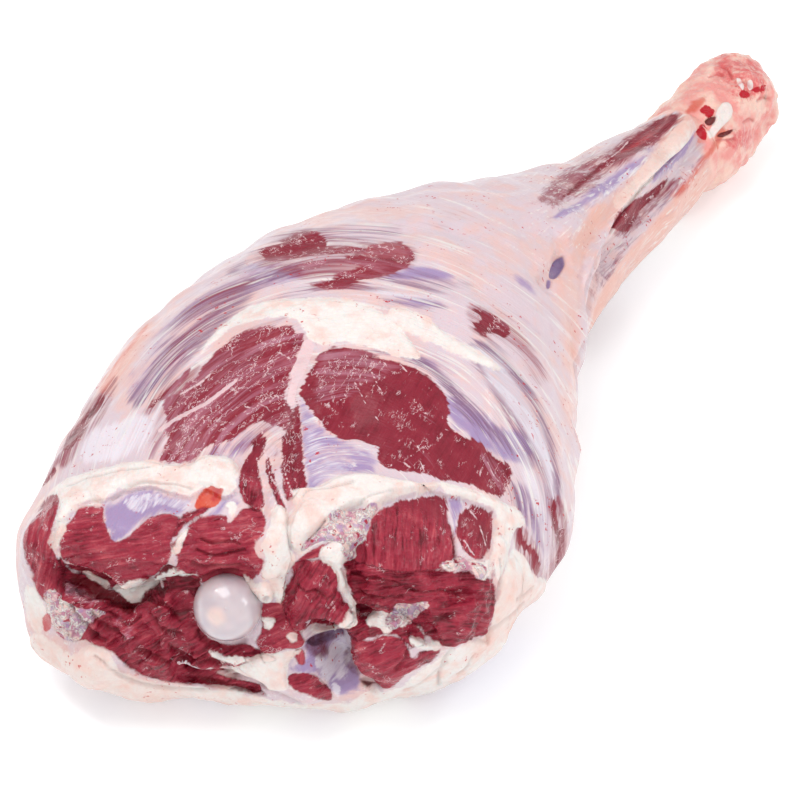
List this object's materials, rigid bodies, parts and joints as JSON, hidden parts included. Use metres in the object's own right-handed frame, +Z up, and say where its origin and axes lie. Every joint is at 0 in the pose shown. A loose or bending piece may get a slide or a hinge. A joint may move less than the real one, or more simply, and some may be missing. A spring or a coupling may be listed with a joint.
{
  "type": "leg of lamb",
  "caption": "Raw bone-in leg of lamb: broad thigh with a rough cut face and thigh-bone ball, tapering along the shank to the rounded hock, lying on one side for roasting.",
  "frame": {"origin": "centre of the bounding box at its bottom, where the leg rests", "axes": "+Y along the leg from the cut end to the hock, +Z up, +X across the leg"},
  "size_m": [0.1842, 0.4479, 0.1023],
  "materials": {
    "meat": "moist raw muscle under thin fat and membrane",
    "thigh_bone": "wet pearly cartilage",
    "shank_bone": "moist pink gristle over bone"
  },
  "bodies": {
    "root": {"leg_meat": "meat", "thigh_bone": "thigh_bone", "shank_bone": "shank_bone"}
  },
  "joints": []
}
